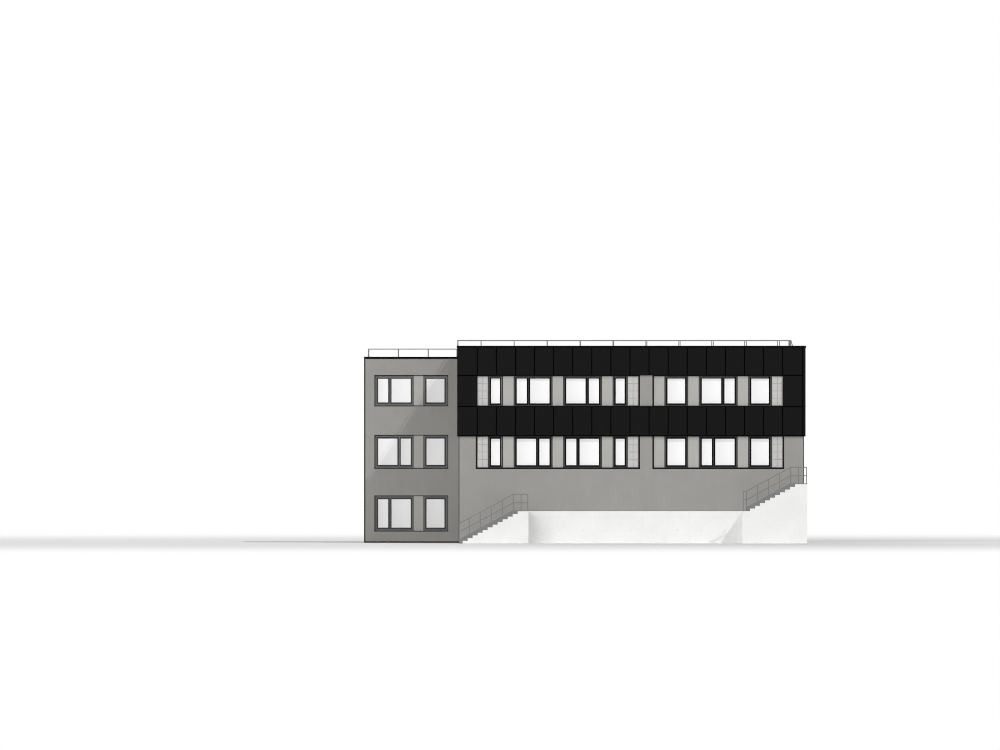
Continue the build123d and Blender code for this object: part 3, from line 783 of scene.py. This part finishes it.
class SchoolSizes(bpy.types.PropertyGroup):
    metal_bevel: length_setting("Metal bevel", "Rounding of frames, tubes and sheets", 0.003)
    stone_bevel: length_setting("Render bevel", "Rounding of rendered and concrete edges", 0.008)
    sash_gap: length_setting("Sash gap", "Shadow gap between frame and sash", 0.005)
    sash_face: length_setting("Sash face", "Width of a sash round its pane", 0.080)
    sash_setback: length_setting("Sash setback", "How far a sash lies behind its frame", 0.015)
    sash_depth: length_setting("Sash depth", "Depth of a sash", 0.065)
    bead_width: length_setting("Bead width", "Width of the glazing bead", 0.020)
    bead_step: length_setting("Bead step", "How far the glazing bead lies behind the sash", 0.008)
    gasket: length_setting("Gasket", "Width of the rubber round a pane", 0.008)
    sheet: length_setting("Sheet", "Thickness of folded sheet", 0.003)
    cassette_depth: length_setting("Cassette depth", "Depth of a cladding cassette", 0.055)
    corner_face: length_setting(
        "Corner face", "Cladding faces narrower than this form a corner profile", 0.3)
    cassette_seal: length_setting("Cassette seal", "Width of the rubber seal round a cassette", 0.009)
    emboss_height: length_setting("Emboss height", "How far a screen's fields stand out", 0.014)
    field_margin: length_setting("Field margin", "Flat rim round a screen's fields", 0.020)
    field_gap: length_setting("Field gap", "Flat strip between a screen's fields", 0.026)
    strap_pitch: length_setting("Strap pitch", "Distance between the straps that cover coping joints", 3.0)
    strap_width: length_setting("Strap width", "Width of a strap", 0.10)
    strap_reach: length_setting("Strap reach", "How far a strap reaches past the wall", 0.115)
    wall: length_setting("Wall", "Thickness of the walls under the copings", 0.4)
    trim_face: length_setting("Trim face", "Width of the corner beads", 0.040)
    stop_face: length_setting(
        "Stop face", "Height of the profile at the foot of the main block's render", 0.014)
    base_face: length_setting("Base face", "Height of the wing's base profile", 0.075)
    joint_cover: length_setting("Joint cover", "Width of the cover at the party wall", 0.075)
    nosing: length_setting("Nosing", "Width of the grip strip on each step", 0.045)
    nosing_inset: length_setting("Nosing inset", "Distance from a step's edge to its grip strip", 0.025)
    upstand_height: length_setting("Upstand height", "Height of the roofing turned up at parapets", 0.30)
    upstand_turn: length_setting("Upstand turn", "Size of the slope at an upstand's foot", 0.08)
    upstand_reach: length_setting("Upstand reach", "How far an upstand runs on over the roof", 0.2)
    foot_plate: length_setting("Foot plate", "Width of the plate under a rail post", 0.11)


class SchoolStage(bpy.types.PropertyGroup):
    lens: FloatProperty(name="Lens", description="Focal length", default=1100, unit="CAMERA")
    sensor: FloatProperty(name="Sensor", description="Sensor width", default=36, unit="CAMERA")
    view_width: length_setting("View width", "Width that the picture takes in at the front", 57.4)
    view_centre: FloatVectorProperty(
        name="View centre", description="What the camera looks at in the front's plane",
        size=3, default=(-4.891, -6.06, 9.66), subtype="TRANSLATION")
    pixel_filter: FloatProperty(
        name="Pixel filter", description="Width, in pixels, from which a pixel gathers its light",
        default=1.0, min=0.01)
    sky: strength_setting("Sky", "Strength of the sky's light", 0.22)
    sun: strength_setting("Sun", "Strength of the key light", 1.3)
    sun_travel: travel_setting("Sun travel", "Direction in which the key light travels", (-1.0, 1.0, -1.53))
    sun_softness: FloatProperty(
        name="Sun softness", description="Angle that the key light fills", default=math.radians(0.4),
        subtype="ANGLE")
    fill: strength_setting("Fill", "Strength of the fill light", 1.68)
    fill_travel: travel_setting(
        "Fill travel", "Direction in which the fill light travels", (0.45, 1.0, -0.3))
    back: strength_setting("Back", "Strength of the light on the unseen sides", 1.2)
    back_travel: travel_setting(
        "Back travel", "Direction in which the back light travels", (0.35, -1.0, -0.4))
    fill_softness: FloatProperty(
        name="Fill softness", description="Angle that the fill and back lights fill",
        default=math.radians(40), subtype="ANGLE")
    floor_colour: colour_setting("Floor", "Floor near the building", (0.92, 0.92, 0.92))


# Operators

class SCHOOL_OT_stage(bpy.types.Operator):
    """Pale floor, soft sky, key light and the camera of the front view"""
    bl_idname = "school.stage"
    bl_label = "Stage"

    def execute(self, context):
        stage = context.scene.school_stage
        self.camera(context, stage)
        self.lights(context, stage)
        self.floor(context, stage)
        context.scene.view_settings.view_transform = "Standard"
        context.scene.cycles.filter_width = stage.pixel_filter
        return {"FINISHED"}

    def camera(self, context, stage):
        data = bpy.data.cameras.new("Front view")
        data.lens = stage.lens
        data.sensor_width = stage.sensor
        distance = stage.view_width * stage.lens / stage.sensor
        reach = 10
        data.clip_end = distance * reach
        made = add_object("Front view", data)
        made.location = Vector(stage.view_centre) - Vector((0, distance, 0))
        made.rotation_euler = (math.radians(90), 0, 0)
        context.scene.camera = made

    def lights(self, context, stage):
        world = bpy.data.worlds.new("Sky")
        world.use_nodes = True
        context.scene.world = world
        sky = Graph(world.node_tree)
        back = world.node_tree.nodes["Background"]
        back.inputs["Color"].default_value = (1, 1, 1, 1)
        seen = seen_directly(sky)
        sky.feed(back.inputs["Strength"], seen * (1 - stage.sky) + stage.sky)
        for name, strength, travel, softness in (
                ("Key light", stage.sun, stage.sun_travel, stage.sun_softness),
                ("Fill light", stage.fill, stage.fill_travel, stage.fill_softness),
                ("Back light", stage.back, stage.back_travel, stage.fill_softness)):
            data = bpy.data.lights.new(name, "SUN")
            data.energy = strength
            data.angle = softness
            made = add_object(name, data)
            made.rotation_euler = Vector(travel).to_track_quat("-Z", "Y").to_euler()

    def floor(self, context, stage):
        reach = 6000
        fade_start, fade_end = 24, 110
        form = Form()
        form.face(ring((-reach, -reach), (reach, reach), 0, 0))
        finish = Finish("stage_floor")
        grain = finish.noise(3, detail=3)
        finish.shade(Base_Color=finish.tones(grain, stage.floor_colour, dark=0.99, light=1.01),
                     Roughness=0.9, Specular_IOR_Level=0.0)
        away = finish.node("ShaderNodeVectorMath", {"operation": "LENGTH"}, {0: finish.place}, "Value")
        fade = finish.node("ShaderNodeMapRange", {"interpolation_type": "SMOOTHSTEP"}, {
            "Value": away, "From Min": fade_start, "From Max": fade_end})
        white = finish.node("ShaderNodeEmission", inputs={"Color": (1, 1, 1, 1), "Strength": 1})
        both = finish.node("ShaderNodeMixShader", inputs={
            0: fade * seen_directly(finish), 1: Link(finish, finish.shader.outputs[0]), 2: white})
        finish.feed(finish.tree.nodes["Material Output"].inputs["Surface"], both)
        made = form.turn_out("stage_floor_plane", ["stage_floor"], closed=False)


class SCHOOL_OT_masonry(bpy.types.Operator):
    """Render on the walls, concrete on the foundations, screed and gravel on floors and roofs"""
    bl_idname = "school.masonry"
    bl_label = "Walls, floors and roofs"

    def execute(self, context):
        kept = {"wall": "plaster", "foundation": "concrete", "floors": "floor", "roof": "roofing"}
        for name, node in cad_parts.items():
            finish = kept.get(name.split("_")[-1])
            if finish:
                node.data.materials.clear()
                node.data.materials.append(material(finish))
        return {"FINISHED"}


class SCHOOL_OT_piers(bpy.types.Operator):
    """Pale rendered piers between the windows"""
    bl_idname = "school.piers"
    bl_label = "Piers"

    def execute(self, context):
        for node in ("front_piers", "back_piers", "right_piers", "wing_piers"):
            piece = softened(node, "pale_render", context.scene.school_sizes.stone_bevel)
            seat(piece, "pale_render", node)
        return {"FINISHED"}


class SCHOOL_OT_windows(bpy.types.Operator):
    """Fixed frames with mullions, black sashes with glazing beads, and rubber round the panes"""
    bl_idname = "school.windows"
    bl_label = "Windows"

    def execute(self, context):
        sizes = context.scene.school_sizes
        for wall, facade in WALLS.items():
            panes = [facade.local(box) for box in solids(wall + "_glass")]
            form = Form(facade)
            for box in solids(wall + "_windows"):
                low, high = facade.local(box)
                mine = [(a, b) for a, b in panes if low.x < a.x < high.x and low.y < a.y < high.y]
                sashes = [(a - Vector((sizes.sash_face, sizes.sash_face, 0)),
                           b + Vector((sizes.sash_face, sizes.sash_face, 0))) for a, b in mine]
                form.plate(low, high, sashes, 0)
                for (outer_low, outer_high), pane in zip(sashes, mine):
                    self.sash(form, sizes, outer_low, outer_high, pane, high.z)
            in_wing = wall.startswith("wing")
            finishes = ["wing_frame", "wing_sash"] if in_wing else ["window_frame", "sash"]
            piece = form.turn_out(wall + "_window_frames", finishes + ["rubber"], sizes.metal_bevel)
            seat(piece, "window_frame", wall + "_windows")
        return {"FINISHED"}

    def sash(self, form, sizes, low, high, pane, frame_front):
        """A sash with its glazing bead, and the gasket that laps over the pane's edge."""
        gasket_lap, gasket_half = 0.002, 0.004
        front = frame_front - sizes.sash_setback
        back = front - sizes.sash_depth
        gap, face, bead = sizes.sash_gap, sizes.sash_face, sizes.bead_width
        step = front - sizes.bead_step
        form.moulding(low, high, [(gap, back), (gap, front), (face - bead, front), (face - bead, step),
                                  (face, step), (face, back)], 1)
        under, over = pane[1].z - gasket_half, pane[1].z + gasket_half
        form.moulding(pane[0], pane[1], [(-gasket_lap, under), (-gasket_lap, over),
                                         (sizes.gasket, over), (sizes.gasket, under)], 2)


class SCHOOL_OT_glass(bpy.types.Operator):
    """Panes with a left-to-right coordinate for the painted reflection of daylight in them"""
    bl_idname = "school.glass"
    bl_label = "Glass"

    def execute(self, context):
        for wall, facade in WALLS.items():
            form = Form(facade)
            spans = []
            for box in solids(wall + "_glass"):
                low, high = facade.local(box)
                form.block(low, high)
                spans.append((low, high))
            piece = form.turn_out(wall + "_panes", ["glass"])
            self.lay_coordinate(piece.data, facade, spans)
            seat(piece, "glass", wall + "_glass")
        return {"FINISHED"}

    def lay_coordinate(self, mesh, facade, spans):
        layer = mesh.uv_layers.new(name="pane")
        for face in mesh.polygons:
            centre = Vector((facade.along.dot(face.center), face.center.z))
            low, high = next((a, b) for a, b in spans
                             if a.x - SAME_PLACE <= centre.x <= b.x + SAME_PLACE
                             and a.y - SAME_PLACE <= centre.y <= b.y + SAME_PLACE)
            for loop in face.loop_indices:
                point = mesh.vertices[mesh.loops[loop].vertex_index].co
                layer.data[loop].uv = ((facade.along.dot(point) - low.x) / (high.x - low.x),
                                       (point.z - low.y) / (high.y - low.y))


class SCHOOL_OT_surrounds(bpy.types.Operator):
    """Folded metal surrounds that line the openings of the window bands"""
    bl_idname = "school.surrounds"
    bl_label = "Surrounds"

    def execute(self, context):
        piece = softened("band_surrounds", "surround", context.scene.school_sizes.metal_bevel)
        seat(piece, "surround", "band_surrounds")
        return {"FINISHED"}


class SCHOOL_OT_screens(bpy.types.Operator):
    """Embossed sheets at the ends of the bands: two by four raised fields on each"""
    bl_idname = "school.screens"
    bl_label = "Screens"

    def execute(self, context):
        sizes = context.scene.school_sizes
        columns, rows = 2, 4
        margin, gap = sizes.field_margin, sizes.field_gap
        taper = 0.955
        wall_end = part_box("main_right_wall")[0].x
        middle = (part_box("main_front_wall")[0].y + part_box("main_back_wall")[1].y) / 2
        sheets, fields = Form(), Form()
        for low, high in solids("band_screens"):
            facade = RIGHT if low.x > wall_end else FRONT if low.y < middle else BACK
            a, b = facade.local((low, high))
            back_sheet = Vector((b.x, b.y, b.z - sizes.emboss_height))
            sheets.on(facade)
            sheets.block(a, back_sheet)
            wide = (b.x - a.x - 2 * margin - (columns - 1) * gap) / columns
            tall = (b.y - a.y - 2 * margin - (rows - 1) * gap) / rows
            fields.on(facade)
            for i in range(columns):
                for j in range(rows):
                    u = a.x + margin + i * (wide + gap)
                    v = a.y + margin + j * (tall + gap)
                    fields.face(ring((u, v), (u + wide, v + tall), 0, back_sheet.z))
        raised = fields.turn_out("screen_fields", ["screen"], closed=False)
        tree = raised_panels("Embossed fields", "screen", seed=3)
        tree.grow(raised, {"Height": sizes.emboss_height, "Taper": taper})
        seat(raised, "screen")
        # The back sheet is painted darker as the shade between the fields
        piece = sheets.turn_out("screen_sheets", ["screen_back"], sizes.metal_bevel)
        seat(piece, "screen", "band_screens")
        return {"FINISHED"}


class SCHOOL_OT_cladding(bpy.types.Operator):
    """Black cassettes with rubber seals, their base profiles and the membrane behind the open joints"""
    bl_idname = "school.cladding"
    bl_label = "Cladding"

    def execute(self, context):
        sizes = context.scene.school_sizes
        tree = raised_panels("Cladding cassettes", "cladding", seed=11)
        for side, facade in (("front", FRONT), ("back", BACK), ("right", RIGHT), ("left", LEFT)):
            node = side + "_cladding"
            cassettes, seals = Form(facade), Form(facade)
            seal = sizes.cassette_seal
            for low, high in self.corners_joined(facade.layer(node, 0), sizes.corner_face):
                d, rim = high.z - sizes.cassette_depth, high.z - seal / 2
                cassettes.face(ring(low, high, seal, d))
                seals.moulding(low, high, [(0, d), (0, rim), (seal, rim), (seal, d)])
            seat(seals.turn_out(side + "_cassette_seals", ["membrane"]), "cladding")
            piece = cassettes.turn_out(side + "_cassettes", ["cladding"], closed=False)
            tree.grow(piece, {"Height": sizes.cassette_depth, "Taper": 1.0})
            add_bevel(piece, sizes.metal_bevel)
            settle(piece)
            seat(piece, "cladding", node)
            profiles = Form(facade)
            wall_plane = facade.local(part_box(node))[0].z
            for low, high in facade.layer(node, 1):
                profiles.block((low.x, low.y, wall_plane), high)
            piece = profiles.turn_out(side + "_base_profile", ["coping"], sizes.metal_bevel)
            seat(piece, "coping")
            membrane_plane = facade.layer(node, 2)[0][1].z
            seat(self.membrane(side, facade, wall_plane, membrane_plane), "cladding")
        return {"FINISHED"}

    def corners_joined(self, faces, limit):
        """The narrow faces at a corner of the building become one upright profile."""
        narrow = [face for face in faces if face[1].x - face[0].x < limit]
        wide = [face for face in faces if face not in narrow]
        if narrow:
            lows, highs = zip(*narrow)
            wide.append((Vector(map(min, *lows)), Vector(map(max, *highs))))
        return wide

    def membrane(self, side, facade, wall_plane, front):
        """The sheet behind the joints: the node's faces on the wall, thickened up to the given plane."""
        flat = flat_copy(side + "_cladding", lambda face:
                         face.calc_center_median().dot(facade.out) > wall_plane + SAME_PLACE)
        rise = facade.out * (front - wall_plane)
        form = Form()
        for face in flat.mesh.faces:
            points = [vertex.co for vertex in face.verts]
            form.face(points)
            form.face([point + rise for point in points])
        for a, b in [(edge.verts[0].co, edge.verts[1].co) for edge in flat.mesh.edges if edge.is_boundary]:
            form.face([a, b, b + rise, a + rise])
        flat.mesh.free()
        return form.turn_out(side + "_cladding_membrane", ["membrane"])


class SCHOOL_OT_copings(bpy.types.Operator):
    """Folded copings, with straps over their joints"""
    bl_idname = "school.copings"
    bl_label = "Copings"

    def execute(self, context):
        sizes = context.scene.school_sizes
        tree = flat_plates("Coping straps", "coping")
        across = sizes.wall + sizes.strap_reach
        for node in ("main_coping", "wing_coping"):
            piece = softened(node, "coping", sizes.metal_bevel)
            seat(piece, "coping", node)
            long_sides, ends = self.strap_places(node, sizes, across)
            for name, places, long_x, long_y in (
                    ("_straps", long_sides, sizes.strap_width, across),
                    ("_end_straps", ends, across, sizes.strap_width)):
                set_out(node + name, places, tree, {
                    "Length X": long_x, "Length Y": long_y, "Thickness": sizes.sheet * 2}, "coping")
        return {"FINISHED"}

    def strap_places(self, node, sizes, across):
        """The middles of the straps, evenly spaced along the front and back and along the ends."""
        low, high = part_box(node)
        roof_low, roof_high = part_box(node.replace("coping", "roof"))

        def middles(start, end):
            count = max(1, round((end - start) / sizes.strap_pitch))
            return [start + (end - start) * (i + 0.5) / count for i in range(count)]

        long_sides = [(x, y, high.z) for x in middles(roof_low.x, roof_high.x)
                      for y in (low.y + across / 2, high.y - across / 2)]
        walled = [low.x + across / 2]
        if high.x - roof_high.x > across / 2:
            walled.append(high.x - across / 2)
        ends = [(x, y, high.z) for y in middles(roof_low.y, roof_high.y) for x in walled]
        return long_sides, ends


class SCHOOL_OT_trims(bpy.types.Operator):
    """Corner beads and base profiles of the render, and the joint cover at the party wall"""
    bl_idname = "school.trims"
    bl_label = "Render trims"

    def execute(self, context):
        sizes = context.scene.school_sizes
        form = Form()
        cladding_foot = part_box("front_cladding")[0].z
        for facade, side in ((FRONT, "front"), (BACK, "back")):
            form.on(facade)
            low, high = facade.local(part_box(f"main_{side}_wall"))
            line = self.ground_line(facade, side + "_foundation")
            self.strip(form, sizes, line, high.z, sizes.stop_face)
            for u in (low.x, high.x - sizes.trim_face):
                middle = u + sizes.trim_face / 2
                foot = max([v for at, v in line if abs(at - middle) < sizes.trim_face] + [low.y])
                self.upright(form, sizes, (u, foot), (u + sizes.trim_face, cladding_foot), high.z)
        for facade, side in ((FRONT, "front"), (BACK, "back")):
            form.on(facade)
            low, high = facade.local(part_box(f"wing_{side}_wall"))
            self.strip(form, sizes, [(low.x, low.y), (high.x, low.y)], high.z, sizes.base_face, 1)
            u = low.x if facade is FRONT else high.x - sizes.joint_cover
            self.upright(form, sizes, (u, low.y), (u + sizes.joint_cover, high.y), high.z)
        form.on(RIGHT)
        low, high = RIGHT.local(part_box("main_right_wall"))
        front = RIGHT.local(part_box("main_front_wall"))[0].x
        back = RIGHT.local(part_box("main_back_wall"))[1].x
        self.strip(form, sizes, [(front, low.y), (back, low.y)], high.z, sizes.stop_face)
        form.on(LEFT)
        low, high = LEFT.local(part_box("main_left_wall"))
        front = LEFT.local(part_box("main_front_wall"))[1].x
        wing = LEFT.local(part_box("wing_front_wall"))[1].x
        self.strip(form, sizes, [(wing, low.y), (front, low.y)], high.z, sizes.base_face, 1)
        self.upright(form, sizes, (front - sizes.trim_face, low.y), (front, cladding_foot), high.z)
        seat(form.turn_out("render_trims", ["trim", "coping"]), "surround")
        return {"FINISHED"}

    def upright(self, form, sizes, low, high, d):
        """A flat upright profile on the wall's face, between two corners."""
        form.block((*low, d - sizes.sheet), (*high, d + sizes.sheet))

    def ground_line(self, facade, node):
        """The upper edge of a foundation as (u, v) points from left to right."""
        top = {}
        for corner in triangles(node).reshape(-1, 3):
            point = Vector(corner.tolist())
            u = round(facade.along.dot(point), 3)
            top[u] = max(top.get(u, 0), point.z)
        return sorted(top.items())

    def strip(self, form, sizes, line, d, face, slot=0):
        """A flat profile above each stretch of a line."""
        for (u0, v0), (u1, v1) in zip(line, line[1:]):
            loops = [[(u0, v0, z), (u1, v1, z), (u1, v1 + face, z), (u0, v0 + face, z)]
                     for z in (d - sizes.sheet, d + sizes.sheet)]
            for points in loops:
                form.face(points, slot)
            form.between(*loops, slot)


class SCHOOL_OT_roofing(bpy.types.Operator):
    """Roofing membrane turned up at the parapets"""
    bl_idname = "school.roofing"
    bl_label = "Roofing upstands"

    def execute(self, context):
        sizes = context.scene.school_sizes
        for block in ("main", "wing"):
            low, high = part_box(block + "_roof")
            form = Form()
            level = high.z
            top = level + sizes.upstand_height
            turn, reach = sizes.upstand_turn, sizes.upstand_reach
            form.moulding((low.x, low.y), (high.x, high.y), [
                (0, level), (0, top), (sizes.sheet * 2, top), (sizes.sheet * 4, level + turn),
                (turn, level + sizes.sheet), (reach, level + sizes.sheet), (reach, level)])
            piece = form.turn_out(block + "_roof_upstand", ["upstand"])
            seat(piece, "roofing")
        return {"FINISHED"}


class SCHOOL_OT_rails(bpy.types.Operator):
    """Guard rails of the roofs, with bolted foot plates"""
    bl_idname = "school.rails"
    bl_label = "Guard rails"

    def execute(self, context):
        sizes = context.scene.school_sizes
        rails = [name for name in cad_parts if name.endswith("_rail")]
        for node in rails:
            piece = softened(node, "rail", sizes.metal_bevel)
            seat(piece, "rail", node)
        feet = [foot for node in rails for foot in self.feet(node)]
        tree = fixing_plates("Foot plates", "rail")
        set_out("rail_foot_plates", feet, tree, {"Plate": sizes.foot_plate}, "rail")
        return {"FINISHED"}

    def feet(self, node):
        """The middle of each downward face that rests on a roof or a coping."""
        found = triangles(node)
        levels = found[:, :, 2]
        flat = levels.max(1) - levels.min(1) < SAME_PLACE
        rests = [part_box(name)[1].z for name in ("main_roof", "main_coping", "wing_roof", "wing_coping")]
        seats = []
        for rest in rests:
            at_rest = flat & (abs(levels.min(1) - rest) < SAME_PLACE)
            seats += [(low + high) / 2 for low, high in islands(found[at_rest])] if at_rest.any() else []
        return seats


class SCHOOL_OT_stairs(bpy.types.Operator):
    """Concrete steps, steel strings and railings"""
    bl_idname = "school.stairs"
    bl_label = "Stairs"

    def execute(self, context):
        sizes = context.scene.school_sizes
        tree = flat_plates("Stair nosings", "trim")
        for side in ("left", "right"):
            steps = softened(side + "_stair", "step_concrete", sizes.stone_bevel)
            seat(steps, "concrete", side + "_stair")
            places, length = self.nosings(side + "_stair", sizes)
            set_out(side + "_stair_nosings", places, tree, {
                "Length X": sizes.nosing, "Length Y": length, "Thickness": sizes.sheet * 2}, "stair_steel")
            for part in ("_stair_string", "_stair_railing"):
                piece = softened(side + part, "stair_steel", sizes.metal_bevel)
                seat(piece, "stair_steel", side + part)
        return {"FINISHED"}

    def nosings(self, node, sizes):
        """The middles and the length of the grip strips near the edges of the steps."""
        nearly_level = 0.999
        found = triangles(node)
        normals = np.cross(found[:, 1] - found[:, 0], found[:, 2] - found[:, 0])
        up = normals[:, 2] > np.linalg.norm(normals, axis=1) * nearly_level
        treads = [(low, high) for low, high in islands(found[up]) if low.z > SAME_PLACE]
        inset = sizes.nosing_inset + sizes.nosing / 2
        end_gap = sizes.nosing_inset * 2
        places = [(low.x + inset, (low.y + high.y) / 2, high.z) for low, high in treads]
        return places, min(high.y - low.y for low, high in treads) - 2 * end_gap


class SCHOOL_PT_panel(bpy.types.Panel):
    """Lists the pieces of the school building with their sizes and colours"""
    bl_idname = "SCHOOL_PT_panel"
    bl_label = "School Building"
    bl_space_type = "VIEW_3D"
    bl_region_type = "UI"
    bl_category = "School"

    def draw(self, context):
        scene = context.scene
        column = self.layout.column(align=True)
        for operator in OPERATORS:
            column.operator(operator.bl_idname)
        for settings in (scene.school_sizes, scene.school_colours, scene.school_stage):
            box = self.layout.box()
            for name in settings.__annotations__:
                box.prop(settings, name)


OPERATORS = (
    SCHOOL_OT_stage, SCHOOL_OT_masonry, SCHOOL_OT_piers, SCHOOL_OT_windows, SCHOOL_OT_glass,
    SCHOOL_OT_surrounds, SCHOOL_OT_screens, SCHOOL_OT_cladding, SCHOOL_OT_copings, SCHOOL_OT_trims,
    SCHOOL_OT_roofing, SCHOOL_OT_rails, SCHOOL_OT_stairs,
)
CLASSES = (SchoolColours, SchoolSizes, SchoolStage, *OPERATORS, SCHOOL_PT_panel)


def register():
    for item in CLASSES:
        bpy.utils.register_class(item)
    bpy.types.Scene.school_colours = PointerProperty(type=SchoolColours)
    bpy.types.Scene.school_sizes = PointerProperty(type=SchoolSizes)
    bpy.types.Scene.school_stage = PointerProperty(type=SchoolStage)


def unregister():
    del bpy.types.Scene.school_stage
    del bpy.types.Scene.school_sizes
    del bpy.types.Scene.school_colours
    for item in reversed(CLASSES):
        bpy.utils.unregister_class(item)


def main():
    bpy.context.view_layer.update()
    register()
    for operator in OPERATORS:
        getattr(bpy.ops.school, operator.bl_idname.split(".")[1])()


if __name__ == "__main__":
    main()
